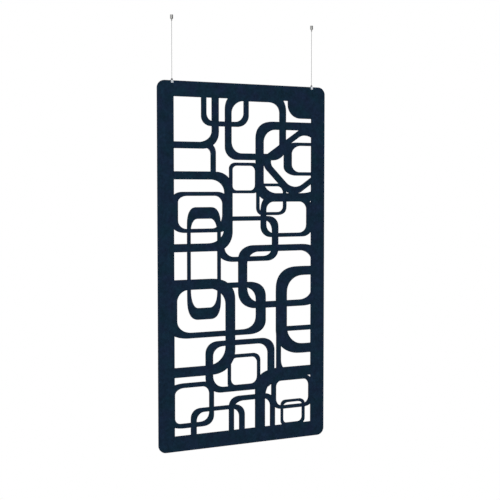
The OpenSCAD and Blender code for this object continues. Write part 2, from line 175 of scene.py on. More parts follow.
def new_material(name, **settings):
    """A material, its node tree and its Principled shader, with plain values set."""
    material = bpy.data.materials.new(name)
    material.use_nodes = True
    tree = material.node_tree
    shader = tree.nodes["Principled BSDF"]
    for key, value in settings.items():
        shader.inputs[key.replace("_", " ")].default_value = value
    return material, tree, shader


def use_group(tree, group, inputs):
    """Outputs of a shader node group, placed in a material with its own values."""
    return add(tree, "ShaderNodeGroup", inputs, node_tree=group).outputs


# Plating of the small metal parts: slow clouds of tone, and fine scuffs that
# come with handling
FINER = 6                                   # scuffs against clouds
CLOUD_MIDDLE, SCUFF_MIDDLE = 0.55, 0.45     # noise that changes nothing
plating, given = new_group(
    "plating", "ShaderNodeTree",
    {"Color": "Color", "Cloud Size": "Float", "Clouds": "Float",
     "Roughness": "Float", "Scuffs": "Float"},
    {"Color": "Color", "Roughness": "Float", "Height": "Float"})
place = add(plating, "ShaderNodeTexCoord").outputs["Object"]
cloud, fine = (
    add(plating, "ShaderNodeTexNoise", {
        "Vector": place, "Scale": calc(plating, "DIVIDE", times, given["Cloud Size"]),
        "Detail": detail}).outputs[0]
    for times, detail in ((1, 3.0), (FINER, 5.0)))
tone = calc(plating, "ADD", 1, calc(
    plating, "MULTIPLY", calc(plating, "SUBTRACT", cloud, CLOUD_MIDDLE), given["Clouds"]))
scuff = calc(
    plating, "MULTIPLY", calc(plating, "SUBTRACT", fine, SCUFF_MIDDLE), given["Scuffs"])
put_out(
    plating, Color=calc_vector(plating, "MULTIPLY", given["Color"], tone),
    Roughness=calc(plating, "ADD", given["Roughness"], scuff), Height=fine)

# Wire steel: the seven fine wires of each strand show as ridges that wind round
# it, with painted shade and a little grime darkening the grooves between them
wire_steel, tree, shader = new_material("wire_steel", Metallic=1.0)
around = add(tree, "ShaderNodeAttribute", attribute_name="around").outputs["Vector"]
along = add(tree, "ShaderNodeAttribute", attribute_name="along").outputs["Fac"]
split = add(tree, "ShaderNodeSeparateXYZ", {0: around}).outputs
turn = calc(
    tree, "ADD", calc(tree, "MULTIPLY", calc(tree, "ARCTAN2", split[1], split[0]), FINE_WIRES),
    calc(tree, "MULTIPLY", along, FINE_TWIST))
ridge = calc(tree, "ABSOLUTE", calc(tree, "SINE", calc(tree, "MULTIPLY", turn, 0.5)))
skin = use_group(tree, plating, {
    "Color": (0.075, 0.076, 0.079, 1), "Cloud Size": 0.02, "Clouds": 0.5,
    "Roughness": 0.30, "Scuffs": 0.2})
# Painted shade with a little grime: the colour is darker where the ridge sinks between the fine
# wires
groove_shade_and_grime = add(tree, "ShaderNodeMapRange", {
    "Value": ridge, "From Max": 0.5, "To Min": 0.45, "To Max": 1.0}).outputs[0]
tree.links.new(
    calc_vector(tree, "MULTIPLY", skin["Color"], groove_shade_and_grime), shader.inputs["Base Color"])
tree.links.new(skin["Roughness"], shader.inputs["Roughness"])
tree.links.new(
    bumped(tree, ridge, distance=0.06 * MM, strength=0.8), shader.inputs["Normal"])

# The strand: one helix round the core, repeated six times. Strands and core are
# each a third of the wire's diameter.
strand, given = new_group(
    "stranded wire", "GeometryNodeTree",
    {"Foot": "Vector", "Length": "Float", "Diameter": "Float", "Lay": "Float",
     "Strands": "Int", "Material": "Material"},
    {"Geometry": "Geometry"})
strand_r = calc(strand, "DIVIDE", given["Diameter"], 6)
helix_r = calc(strand, "DIVIDE", given["Diameter"], 3)
profile = add(strand, "GeometryNodeCurvePrimitiveCircle", {
    "Resolution": 8, "Radius": strand_r}).outputs[0]
profile = add(strand, "GeometryNodeStoreNamedAttribute", {
    "Geometry": profile, "Name": "around",
    "Value": add(strand, "GeometryNodeInputPosition").outputs[0]},
    data_type="FLOAT_VECTOR", domain="POINT").outputs[0]
helix = add(strand, "GeometryNodeCurveSpiral", {
    "Resolution": 12, "Rotations": calc(strand, "DIVIDE", given["Length"], given["Lay"]),
    "Start Radius": helix_r, "End Radius": helix_r, "Height": given["Length"]}).outputs[0]
core = add(strand, "GeometryNodeCurvePrimitiveLine", {
    "End": add(strand, "ShaderNodeCombineXYZ", {"Z": given["Length"]}).outputs[0]}).outputs[0]
tubes = []
for line in (helix, core):
    line = add(strand, "GeometryNodeStoreNamedAttribute", {
        "Geometry": line, "Name": "along",
        "Value": add(strand, "GeometryNodeSplineParameter").outputs["Length"]},
        data_type="FLOAT", domain="POINT").outputs[0]
    tube = add(strand, "GeometryNodeCurveToMesh", {
        "Curve": line, "Profile Curve": profile, "Fill Caps": True}).outputs[0]
    tubes.append(add(strand, "GeometryNodeSetShadeSmooth", {"Geometry": tube}).outputs[0])
step = calc(strand, "DIVIDE", 2 * math.pi, given["Strands"])
turned_by = add(strand, "ShaderNodeCombineXYZ", {
    "Z": calc(strand, "MULTIPLY", add(strand, "GeometryNodeInputIndex").outputs[0], step)
    }).outputs[0]
laid = add(strand, "GeometryNodeInstanceOnPoints", {
    "Points": add(strand, "GeometryNodePoints", {"Count": given["Strands"]}).outputs[0],
    "Instance": tubes[0],
    "Rotation": add(strand, "FunctionNodeEulerToRotation", {0: turned_by}).outputs[0]
    }).outputs[0]
whole = add(strand, "GeometryNodeJoinGeometry")
for part in (tubes[1], laid):
    strand.links.new(part, whole.inputs[0])
put_out_piece(strand, whole.outputs[0], given["Foot"], given["Material"])

# One piece for each body that carries a stretch of the wire. The last one hangs free.
for side, x in SIDES.items():
    for body, node, top, foot in (
            ("ceiling", "wire_held_end", HELD_TOP_Z, SWING_Z - LAP),
            (f"{side}_bend", "wire_bend", SWING_Z + LAP, SWAY_Z - LAP),
            (f"{side}_wire", "wire", SWAY_Z + LAP, WIRE_FOOT_Z)):
        piece = grown(f"{side}_{node}_strand", strand, {
            "Foot": (x, 0, foot), "Length": top - foot, "Diameter": WIRE_D,
            "Lay": WIRE_LAY, "Strands": STRANDS, "Material": wire_steel})
        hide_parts(f"{side}_{node}")
        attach(piece, body)

# ---- Felt sheet -------------------------------------------------------------
# One sheet of 12 mm pressed felt of dark blue polyester fibre. A computer-guided
# blade cuts the fretwork and the rounded corners right through it, and leaves
# the cut edges square, with a slight fuzz on the arris.
FELT_T = 12 * MM
ARRIS = 0.5 * MM
NEAR = 0.01 * MM            # places closer than this lie on the same face

# The outlines of the cut: the edges where the front face of the CAD sheet meets
# a cut wall, followed round
source = bmesh.new()
source.from_mesh(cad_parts["panel"].data)
bmesh.ops.remove_doubles(source, verts=source.verts, dist=NEAR / 10)
source.normal_update()
rim = [
    edge for edge in source.edges
    if len(edge.link_faces) == 2
    and all(abs(vert.co.y + FELT_T / 2) < NEAR for vert in edge.verts)
    and sorted(abs(face.normal.y) > 0.5 for face in edge.link_faces) == [False, True]]
neighbours = {}
for edge in rim:
    for vert in edge.verts:
        neighbours.setdefault(vert, []).append(edge.other_vert(vert))
outlines = []
waiting = set(neighbours)
while waiting:
    first = min(waiting, key=lambda vert: vert.index)
    loop, last, here = [first], None, first
    while True:
        onward = [
            vert for vert in neighbours[here]
            if vert != last and (vert in waiting or vert == first)]
        last, here = here, onward[0]
        if here == first:
            break
        loop.append(here)
    waiting -= set(loop)
    outlines.append([Vector((vert.co.x, vert.co.z)) for vert in loop])
source.free()


def faired(outline, corner=28, run=2.5, straight=0.5, steps=5):
    """An outline whose shallow bends become smooth curves of some steps each.

    A bend of more than corner degrees stays sharp. A leg that is run times its
    neighbour's length is straight, and the curve leaves it in its direction."""
    count = len(outline)
    legs = [outline[(i + 1) % count] - outline[i] for i in range(count)]
    leaving, arriving = [], []
    for i, leg in enumerate(legs):
        before = legs[i - 1]
        way, came = leg.normalized(), before.normalized()
        if math.degrees(came.angle(way)) > corner:
            leaving.append(way)
            arriving.append(came)
            continue
        if leg.length > run * before.length:
            bend = way
        elif before.length > run * leg.length:
            bend = came
        else:
            bend = (came * leg.length + way * before.length).normalized()
        leaving.append(bend)
        arriving.append(bend)
    result = []
    for i, leg in enumerate(legs):
        start, end = outline[i], outline[(i + 1) % count]
        first, last = leaving[i], arriving[(i + 1) % count]
        result.append(start)
        if max(first.angle(leg), last.angle(leg)) < math.radians(straight):
            continue
        for k in range(1, steps):
            t = k / steps
            result.append(
                (2 * t ** 3 - 3 * t ** 2 + 1) * start
                + (t ** 3 - 2 * t ** 2 + t) * leg.length * first
                + (3 * t ** 2 - 2 * t ** 3) * end
                + (t ** 3 - t ** 2) * leg.length * last)
    return result


# A flat curve, filled between its outlines, given its thickness and its arris
drawing = bpy.data.curves.new("felt_face", "CURVE")
drawing.dimensions = "2D"
drawing.fill_mode = "BOTH"
drawing.extrude = FELT_T / 2 - ARRIS
drawing.bevel_depth = ARRIS
drawing.bevel_resolution = 1
drawing.offset = -ARRIS
for outline in map(faired, outlines):
    spline = drawing.splines.new("POLY")
    spline.points.add(len(outline) - 1)
    for point, (x, z) in zip(spline.points, outline):
        point.co = (x, z, 0, 1)
    spline.use_cyclic_u = True
pattern = placed("felt_face", drawing)
mesh = made_mesh(pattern)
bpy.data.objects.remove(pattern)
mesh.transform(Matrix.Rotation(math.pi / 2, 4, "X"))

# Its faces, and an attribute that is 0 on the two flat faces and 1 on the cut
felt_mesh = bmesh.new()
felt_mesh.from_mesh(mesh)
bmesh.ops.remove_doubles(felt_mesh, verts=felt_mesh.verts, dist=NEAR / 5)
bmesh.ops.recalc_face_normals(felt_mesh, faces=felt_mesh.faces)
cut = felt_mesh.verts.layers.float.new("cut")
for vert in felt_mesh.verts:
    vert[cut] = 0.0 if abs(abs(vert.co.y) - FELT_T / 2) < NEAR else 1.0
for face in felt_mesh.faces:
    face.smooth = abs(face.normal.y) < 0.99
felt_mesh.to_mesh(mesh)
felt_mesh.free()

# Felt: dyed fibre with a faint mottle, needled flat on its faces and in layers
# on its cut edges, with a few lighter hairs on top
HAIR_LEANS = (8, 41, 79, 118, 152)          # degrees
HAIR_SIZE = (4 * MM, 1.2 * MM, 0.28 * MM)   # along it, into the felt and across
CURL = 3 * MM                               # how far a hair strays
FIBRE = 0.7 * MM
LAYER_RUN = 20                              # fibres, along a layer at the cut
SEA_BLUE = (0.00375, 0.01545, 0.0281, 1)
INK_BLUE = (0.0058, 0.0134, 0.0319, 1)
felt, tree, shader = new_material(
    "felt", Roughness=0.95, Specular_IOR_Level=0.05, Sheen_Weight=0.05, Sheen_Roughness=0.45,
    Sheen_Tint=(0.55, 0.70, 1.0, 1))
place = add(tree, "ShaderNodeTexCoord").outputs["Object"]
edge = add(tree, "ShaderNodeAttribute", attribute_name="cut").outputs["Fac"]


def noise(tree, place, size, detail, rough=0.5):
    """Noise whose spots are of that size, in metres."""
    return add(tree, "ShaderNodeTexNoise", {
        "Vector": place, "Scale": 1 / size, "Detail": detail, "Roughness": rough}).outputs


def spread(tree, value, low, high, least, most):
    """The value, moved from low..high to least..most and held there."""
    return add(tree, "ShaderNodeMapRange", {
        "Value": value, "From Min": low, "From Max": high,
        "To Min": least, "To Max": most}).outputs[0]


curl = calc_vector(
    tree, "MULTIPLY", noise(tree, place, size=6 * MM, detail=1)["Color"], (CURL, CURL, CURL))
curled = calc_vector(tree, "ADD", place, curl)
hairs = 0.0
for lean in HAIR_LEANS:
    laid = add(tree, "ShaderNodeMapping", {
        "Vector": curled, "Rotation": (0, math.radians(lean), 0), "Scale": HAIR_SIZE},
        vector_type="TEXTURE").outputs[0]
    hairs = calc(tree, "MAXIMUM", noise(tree, laid, size=1, detail=1)[0], hairs)
hairs = spread(tree, hairs, 0.62, 0.80, 0.0, 1.0)
grain = noise(tree, place, size=FIBRE, detail=4, rough=0.65)[0]
clumps = noise(tree, place, size=17 * MM, detail=3)[0]
mottle = noise(tree, place, size=45 * MM, detail=3)[0]
dye = noise(tree, place, size=110 * MM, detail=2)[0]
layered = add(tree, "ShaderNodeMapping", {
    "Vector": place, "Scale": (1 / LAYER_RUN, 1, 1 / LAYER_RUN)}).outputs[0]
layers = noise(tree, layered, size=FIBRE, detail=3)[0]
blue = add(tree, "ShaderNodeMix", {
    0: spread(tree, dye, 0.35, 0.65, 0.0, 1.0), 6: SEA_BLUE, 7: INK_BLUE},
    data_type="RGBA").outputs[2]
shade = calc(
    tree, "MULTIPLY", spread(tree, grain, 0.3, 0.7, 0.72, 1.22),
    spread(tree, clumps, 0.3, 0.7, 0.80, 1.20))
shade = calc(tree, "MULTIPLY", shade, spread(tree, mottle, 0.3, 0.7, 0.84, 1.16))
shade = calc(tree, "ADD", shade, calc(tree, "MULTIPLY", hairs, 0.55))
shade = calc(tree, "MULTIPLY", shade, calc(tree, "SUBTRACT", 1, calc(
    tree, "MULTIPLY", edge, spread(tree, layers, 0.35, 0.65, 0.30, 0.0))))
tree.links.new(calc_vector(tree, "MULTIPLY", blue, shade), shader.inputs["Base Color"])
nap = calc(tree, "ADD", calc(tree, "MULTIPLY", grain, 0.6), calc(tree, "MULTIPLY", hairs, 0.4))
nap = calc(tree, "ADD", nap, calc(tree, "MULTIPLY", edge, layers))
tree.links.new(bumped(tree, nap, distance=0.3 * MM, strength=0.7), shader.inputs["Normal"])
mesh.materials.clear()
mesh.materials.append(felt)
sheet = placed("felt_sheet", mesh)
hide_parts("panel")
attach(sheet, "sheet")

# ---- Ceiling base -----------------------------------------------------------
# A turned and nickel-plated steel base, screwed to the ceiling through its
# countersunk hole. Its spigot has a thread that takes the gripper's housing. From
# here on a size that isn't times MM is in mm.
BODY_R = 9.5                        # base and housing
FLANGE_Z = -2                       # underside of the base's flange
SPIGOT_R, SPIGOT_Z = 6.5, -7
RUNOUT_R, RUNOUT_Z = 6.05, -2.6     # groove where the spigot's thread ends
CEILING_SCREW_R, SINK_R, SINK_Z = 2.25, 4.15, -5.1
CHAMFER = 0.4
SHARP = 35                          # degrees, from which an edge stays sharp
LATHE_LINE = 0.2 * MM
BRUSH_LENGTH, BRUSH_WIDTH = 8.3 * MM, 0.11 * MM


def softened(profile, size):
    """A closed profile with its corners off the axis rounded, at most 0.4 of each side."""
    result = []
    for i, corner in enumerate(profile):
        corner, before, after = (
            Vector(p) for p in (corner, profile[i - 1], profile[(i + 1) % len(profile)]))
        if corner.x == 0:
            result.append(corner)
            continue
        start, end = (
            corner + (p - corner).normalized() * min(size, 0.4 * (p - corner).length)
            for p in (before, after))
        result += [start, 0.25 * start + 0.5 * corner + 0.25 * end, end]
    return result


def finished(name, form, material):
    """A mesh object of that form, with outward faces, smooth but for its sharp edges."""
    bmesh.ops.remove_doubles(form, verts=form.verts, dist=NEAR / 100)
    bmesh.ops.recalc_face_normals(form, faces=form.faces)
    mesh = bpy.data.meshes.new(name)
    form.to_mesh(mesh)
    form.free()
    mesh.shade_smooth()
    mesh.set_sharp_from_angle(angle=math.radians(SHARP))
    mesh.materials.append(material)
    return placed(name, mesh)


def turned(name, x, profile, material, soft=0.15, around=96):
    """A piece turned on a lathe, from a closed profile of (radius, height) in mm."""
    form = bmesh.new()
    rings = []
    for radius, height in softened(profile, soft):
        rings.append([
            form.verts.new((
                x + radius * MM * math.cos(2 * math.pi * i / around),
                radius * MM * math.sin(2 * math.pi * i / around), height * MM))
            for i in range(around)])
    for ring, after in zip(rings, rings[1:] + rings[:1]):
        for i in range(around):
            k = (i + 1) % around
            form.faces.new((ring[i], ring[k], after[k], after[i]))
    return finished(name, form, material)


# Lines that a lathe tool leaves, on faces of any slope round the part's axis.
# Both sides share them, because the axes lie at the same distance from X = 0.
lathe_lines, given = new_group(
    "lathe lines", "ShaderNodeTree", {"Line Width": "Float"}, {"Height": "Float"})
split = add(lathe_lines, "ShaderNodeSeparateXYZ", {
    0: add(lathe_lines, "ShaderNodeTexCoord").outputs["Object"]}).outputs
off_axis = calc(
    lathe_lines, "SUBTRACT", calc(lathe_lines, "ABSOLUTE", split[0]), SIDES["right"])
radius = calc(lathe_lines, "SQRT", calc(
    lathe_lines, "ADD", calc(lathe_lines, "POWER", off_axis, 2),
    calc(lathe_lines, "POWER", split[1], 2)))
feed = calc(
    lathe_lines, "DIVIDE", calc(lathe_lines, "ADD", radius, split[2]), given["Line Width"])
put_out(lathe_lines, Height=add(lathe_lines, "ShaderNodeTexNoise", {
    "W": feed, "Scale": 1.0, "Detail": 2.0}, noise_dimensions="1D").outputs[0])

# Lines of brushing along X, on the plates
brushing, given = new_group(
    "brushing", "ShaderNodeTree", {"Line Length": "Float", "Line Width": "Float"},
    {"Height": "Float"})
across = calc(brushing, "DIVIDE", 1, given["Line Width"])
stretch = add(brushing, "ShaderNodeCombineXYZ", {
    0: calc(brushing, "DIVIDE", 1, given["Line Length"]), 1: across, 2: across}).outputs[0]
put_out(brushing, Height=add(brushing, "ShaderNodeTexNoise", {
    "Vector": calc_vector(
        brushing, "MULTIPLY", add(brushing, "ShaderNodeTexCoord").outputs["Object"], stretch),
    "Scale": 1.0, "Detail": 2.0}).outputs[0])


def plated(name, color, roughness, clouds=0.25, scuffs=0.15, lines=0.0, brushed=0.0):
    """A plated metal, with lathe lines or lines of brushing as strong as it has them."""
    material, tree, shader = new_material(name, Metallic=1.0)
    skin = use_group(tree, plating, {
        "Color": (*color, 1), "Cloud Size": 0.006, "Clouds": clouds,
        "Roughness": roughness, "Scuffs": scuffs})
    tree.links.new(skin["Color"], shader.inputs["Base Color"])
    tree.links.new(skin["Roughness"], shader.inputs["Roughness"])
    normal = bumped(tree, skin["Height"], distance=0.02 * MM, strength=0.3)
    if lines:
        groove = use_group(tree, lathe_lines, {"Line Width": LATHE_LINE})["Height"]
        normal = bumped(tree, groove, distance=0.04 * MM, strength=lines, normal=normal)
    if brushed:
        line = use_group(tree, brushing, {
            "Line Length": BRUSH_LENGTH, "Line Width": BRUSH_WIDTH})["Height"]
        normal = bumped(tree, line, distance=0.03 * MM, strength=brushed, normal=normal)
    tree.links.new(normal, shader.inputs["Normal"])
    return material


satin_nickel = plated("satin_nickel", (0.27, 0.27, 0.265), roughness=0.30, lines=0.6)
for side, x in SIDES.items():
    piece = turned(f"{side}_base_turned", x, [
        (CEILING_SCREW_R, 0), (BODY_R, 0), (BODY_R, FLANGE_Z),
        (RUNOUT_R, FLANGE_Z), (RUNOUT_R, RUNOUT_Z), (SPIGOT_R, RUNOUT_Z - CHAMFER),
        (SPIGOT_R, SPIGOT_Z + CHAMFER), (SPIGOT_R - CHAMFER, SPIGOT_Z), (SINK_R, SPIGOT_Z),
        (CEILING_SCREW_R, SINK_Z)], satin_nickel)
    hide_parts(f"{side}_ceiling_base")
    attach(piece, "ceiling")

# ---- Gripper housing --------------------------------------------------------
# A turned and nickel-plated cylinder, screwed up over the base's spigot. Inside
# it a cone narrows downwards, and presses the balls against the wire.
HOUSING_TOP_Z, HOUSING_FOOT_Z = -2.05, -26
FOOT_CHAMFER = 0.6
THREAD_R, THREAD_Z = 6.6, -7.3      # room for the spigot
CHAMBER_R = 5.5                     # room for the spring
LOCK_TOP_R, LOCK_TOP_Z = 4.586, -16.05
LOCK_FOOT_R, LOCK_FOOT_Z = 3.3, -20.85
MOUTH_R = 4.15
for side, x in SIDES.items():
    piece = turned(f"{side}_housing_turned", x, [
        (BODY_R - FOOT_CHAMFER, HOUSING_FOOT_Z), (BODY_R, HOUSING_FOOT_Z + FOOT_CHAMFER),
        (BODY_R, HOUSING_TOP_Z), (THREAD_R, HOUSING_TOP_Z), (THREAD_R, THREAD_Z),
        (CHAMBER_R, THREAD_Z), (CHAMBER_R, LOCK_TOP_Z), (LOCK_TOP_R, LOCK_TOP_Z),
        (LOCK_FOOT_R, LOCK_FOOT_Z), (MOUTH_R, LOCK_FOOT_Z), (MOUTH_R, HOUSING_FOOT_Z)],
        satin_nickel)
    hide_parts(f"{side}_gripper_housing")
    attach(piece, "ceiling")

# ---- Release nozzle ---------------------------------------------------------
# A turned tube that slides in the housing's mouth. Three holes in its cage hold the
# balls, and its collar carries the spring. Pushed up, it frees the wire.
NOZZLE_R, NOZZLE_FOOT_Z = 4, -38
GRIP_Z, GRIP_H, GRIP_DEPTH = -36, 0.4, 0.2      # groove for the fingertips
BORE_R, BORE_CHAMFER = 1.45, 0.3
CAGE_R, CAGE_Z = 3.05, -23
COLLAR_R, COLLAR_Z, COLLAR_TOP_Z = 5.2, -15.85, -14.35
BALLS, BALL_RING_R, BALL_R, BALL_Z = 3, 2.45 * MM, 1.2 * MM, -19.19 * MM
HOLE_START, HOLE_END = 0.7 * MM, 3.8 * MM       # of the balls' holes, from the axis
ROOM = 0.05                         # that a hole leaves round what sits in it


def bored(thing, start, end, radius, sides=48):
    """Takes a round or six-sided hole out of a piece, from start to end."""
    start, end = Vector(start), Vector(end)
    facing = (end - start).to_track_quat("Z", "Y").to_matrix().to_4x4()
    form = bmesh.new()
    bmesh.ops.create_cone(
        form, cap_ends=True, segments=sides, radius1=radius, radius2=radius,
        depth=(end - start).length, matrix=Matrix.Translation((start + end) / 2) @ facing)
    tool = finished("drill", form, thing.data.materials[0])
    modifier = thing.modifiers.new("hole", "BOOLEAN")
    modifier.object, modifier.operation, modifier.solver = tool, "DIFFERENCE", "EXACT"
    keep_made(thing)
    bpy.data.objects.remove(tool)


for side, x in SIDES.items():
    piece = turned(f"{side}_nozzle_turned", x, [
        (BORE_R + BORE_CHAMFER, NOZZLE_FOOT_Z), (NOZZLE_R - CHAMFER, NOZZLE_FOOT_Z),
        (NOZZLE_R, NOZZLE_FOOT_Z + CHAMFER), (NOZZLE_R, GRIP_Z - GRIP_H),
        (NOZZLE_R - GRIP_DEPTH, GRIP_Z - GRIP_H / 2),
        (NOZZLE_R - GRIP_DEPTH, GRIP_Z + GRIP_H / 2),
        (NOZZLE_R, GRIP_Z + GRIP_H), (NOZZLE_R, CAGE_Z), (CAGE_R, CAGE_Z),
        (CAGE_R, COLLAR_Z), (COLLAR_R, COLLAR_Z), (COLLAR_R, COLLAR_TOP_Z),
        (BORE_R, COLLAR_TOP_Z), (BORE_R, NOZZLE_FOOT_Z + BORE_CHAMFER)],
        satin_nickel, soft=0.12)
    middle = Vector((x, 0, BALL_Z))
    for i in range(BALLS):
        angle = 2 * math.pi * i / BALLS
        out = Vector((math.cos(angle), math.sin(angle), 0))
        bored(piece, middle + out * HOLE_START, middle + out * HOLE_END, BALL_R + ROOM * MM)
    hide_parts(f"{side}_release_nozzle")
    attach(piece, f"{side}_nozzle")

# ---- Locking balls ----------------------------------------------------------
# Three hardened and polished steel balls in the nozzle's cage, between the wire
# and the housing's cone.
ball_ring, given = new_group(
    "ring of balls", "GeometryNodeTree",
    {"Centre": "Vector", "Count": "Int", "Ring Radius": "Float", "Ball Radius": "Float",
     "Material": "Material"},
    {"Geometry": "Geometry"})
ball = add(ball_ring, "GeometryNodeMeshUVSphere", {
    "Segments": 32, "Rings": 16, "Radius": given["Ball Radius"]}).outputs[0]
ball = add(ball_ring, "GeometryNodeSetShadeSmooth", {"Geometry": ball}).outputs[0]
ring = add(ball_ring, "GeometryNodeMeshCircle", {
    "Vertices": given["Count"], "Radius": given["Ring Radius"]}).outputs[0]
ring = add(ball_ring, "GeometryNodeInstanceOnPoints", {
    "Points": ring, "Instance": ball}).outputs[0]
put_out_piece(ball_ring, ring, given["Centre"], given["Material"])
polished_steel = plated(
    "polished_steel", (0.62, 0.62, 0.63), roughness=0.16, clouds=0.15, scuffs=0.1)
for side, x in SIDES.items():
    piece = grown(f"{side}_lock_balls_set", ball_ring, {
        "Centre": (x, 0, BALL_Z), "Count": BALLS, "Ring Radius": BALL_RING_R,
        "Ball Radius": BALL_R, "Material": polished_steel})
    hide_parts(f"{side}_lock_balls")
    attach(piece, f"{side}_nozzle")

# ---- Gripper spring ---------------------------------------------------------
# A spring of 0.7 mm steel wire, wound with half a flat turn at each end, between
# the nozzle's collar and the base's spigot.
SPRING_FOOT_Z = -13.98 * MM
FLAT_TURNS = 0.5
coil, given = new_group(
    "coil spring", "GeometryNodeTree",
    {"Foot": "Vector", "Turns": "Float", "Radius": "Float", "Height": "Float",
     "Wire": "Float", "Material": "Material"},
    {"Geometry": "Geometry"})
helix = add(coil, "GeometryNodeCurveSpiral", {
    "Resolution": 32, "Rotations": given["Turns"], "Start Radius": given["Radius"],
    "End Radius": given["Radius"], "Height": given["Height"]}).outputs[0]
flat = calc(coil, "DIVIDE", FLAT_TURNS, given["Turns"])
rise = add(coil, "ShaderNodeMapRange", {
    "Value": add(coil, "GeometryNodeSplineParameter").outputs["Factor"], "From Min": flat,
    "From Max": calc(coil, "SUBTRACT", 1, flat), "To Max": given["Height"]}).outputs[0]
spot = add(coil, "ShaderNodeSeparateXYZ", {
    0: add(coil, "GeometryNodeInputPosition").outputs[0]}).outputs
helix = add(coil, "GeometryNodeSetPosition", {
    "Geometry": helix, "Position": add(coil, "ShaderNodeCombineXYZ", {
        0: spot[0], 1: spot[1], 2: rise}).outputs[0]}).outputs[0]
tube = add(coil, "GeometryNodeCurveToMesh", {
    "Curve": helix, "Fill Caps": True,
    "Profile Curve": add(coil, "GeometryNodeCurvePrimitiveCircle", {
        "Resolution": 12, "Radius": calc(coil, "DIVIDE", given["Wire"], 2)}).outputs[0]
    }).outputs[0]
tube = add(coil, "GeometryNodeSetShadeSmooth", {"Geometry": tube}).outputs[0]
put_out_piece(coil, tube, given["Foot"], given["Material"])
spring_steel = plated("spring_steel", (0.48, 0.47, 0.45), roughness=0.28)
for side, x in SIDES.items():
    piece = grown(f"{side}_spring_wound", coil, {
        "Foot": (x, 0, SPRING_FOOT_Z), "Turns": 5.0, "Radius": 4.7 * MM, "Height": 6.6 * MM,
        "Wire": 0.7 * MM, "Material": spring_steel})
    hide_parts(f"{side}_gripper_spring")
    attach(piece, "ceiling")
    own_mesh(piece)

# ---- Cone cap ---------------------------------------------------------------
# A turned and nickel-plated cone, screwed down over the clamp's stud. The ball
# on the wire's end bears on the seat in it from below.
SHEET_TOP_Z = -414                  # top edge of the felt
BRIDGE_Z = SHEET_TOP_Z + 2          # top of the clamp's bridge over it
RIM_R, RIM_H = 7.5, 1.2             # its foot
CONE_TOP_R, CONE_TOP_Z = 4.5, -401
WIRE_HOLE_R = 2.6
THROAT_R, THROAT_Z = 2.0, -403.76   # between it and the ball's place lies the seat
BALL_PLACE_R, BALL_PLACE_Z = 3.1, -405.16
STUD_HOLE_R, STUD_TOP_Z = 4.5, -408.3
cone_nickel = plated("cone_nickel", (0.135, 0.134, 0.13), roughness=0.30, lines=0.6)
for side, x in SIDES.items():
    piece = turned(f"{side}_cone_turned", x, [
        (STUD_HOLE_R, BRIDGE_Z), (RIM_R, BRIDGE_Z), (RIM_R, BRIDGE_Z + RIM_H),
        (CONE_TOP_R, CONE_TOP_Z - 0.6), (CONE_TOP_R - 0.5, CONE_TOP_Z),
        (WIRE_HOLE_R, CONE_TOP_Z), (THROAT_R, THROAT_Z), (BALL_PLACE_R, BALL_PLACE_Z),
        (BALL_PLACE_R, STUD_TOP_Z), (STUD_HOLE_R, STUD_TOP_Z)], cone_nickel, soft=0.2)
    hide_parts(f"{side}_cone_cap")
    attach(piece, "sheet")

# ---- Ball on the wire's end -------------------------------------------------
# A steel ball pressed on the lower end of the wire, with a short neck where the
# press has closed it.
END_BALL_R, END_BALL_Z = 2.5, -405.5
NECK_R, NECK_ANGLE = 1.3, 32        # the ball starts at that angle from its top
for side, x in SIDES.items():
    half_circle = [
        (END_BALL_R * math.sin(math.radians(a)),
         END_BALL_Z + END_BALL_R * math.cos(math.radians(a)))
        for a in range(NECK_ANGLE, 180, 4)]
    top, foot = END_BALL_Z + END_BALL_R, END_BALL_Z - END_BALL_R
    piece = turned(
        f"{side}_ball_pressed", x, [(0, top), (NECK_R, top)] + half_circle + [(0, foot)],
        polished_steel, soft=0.02, around=48)
    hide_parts(f"{side}_wire_ball_end")
    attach(piece, "left_ball" if side == "left" else "right_wire")

# ---- Clamp stud -------------------------------------------------------------
# A turned stud with an outside thread for the cone, riveted into the clamp's
# bridge from above.
RIVET_R, STUD_R = 2.5, 4.0
CRESTS, CREST_H, PITCH = 4, 0.4, 0.8        # of the thread
FIRST_Z = BRIDGE_Z + 0.6                    # its lowest crest
for side, x in SIDES.items():
    thread = [
        point for k in range(CRESTS) for point in (
            (STUD_R + CREST_H, FIRST_Z + k * PITCH), (STUD_R, FIRST_Z + (k + 0.5) * PITCH))]
    piece = turned(f"{side}_stud_turned", x, [
        (0, SHEET_TOP_Z), (RIVET_R, SHEET_TOP_Z), (RIVET_R, BRIDGE_Z), (STUD_R, BRIDGE_Z)]
        + thread + [(STUD_R, STUD_TOP_Z), (0, STUD_TOP_Z)], satin_nickel, soft=0.08)
    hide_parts(f"{side}_clamp_stud")
    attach(piece, "sheet")

# ---- Clamp bracket ----------------------------------------------------------
# A bright-plated steel saddle that straddles the sheet's top edge. Its front leg
# is thin, and its back leg is thick enough for the tapped hole of the screw.
CLAMP_W = 16
FRONT_Y, BACK_Y, LEG_Z = -7.5, 10.4, -430
FRONT_T, BACK_T = 1.5, 3.0
OUTER_BEND, INNER_BEND, FOOT_CORNER = 1.2, 0.3, 2
SCREW_Z, SCREW_R = -423, 2
PAST = 1.5                          # by which a drill runs on past the metal
bright_plate = plated(
    "bright_plate", (0.82, 0.875, 0.94), roughness=0.30, clouds=0.12, brushed=0.6)


def bevelled(thing, width):
    """Rounds a piece's edges and keeps the result as its plain mesh."""
    modifier = thing.modifiers.new("edges", "BEVEL")
    modifier.width, modifier.segments = width, 2
    modifier.limit_method, modifier.angle_limit = "ANGLE", math.radians(30)
    modifier.harden_normals = True
    keep_made(thing)
    return thing


def arc(centre, radius, start, end, steps=6):
    """Points of an arc, in degrees."""
    angles = [math.radians(start + (end - start) * i / steps) for i in range(steps + 1)]
    return [
        (centre[0] + radius * math.cos(a), centre[1] + radius * math.sin(a)) for a in angles]


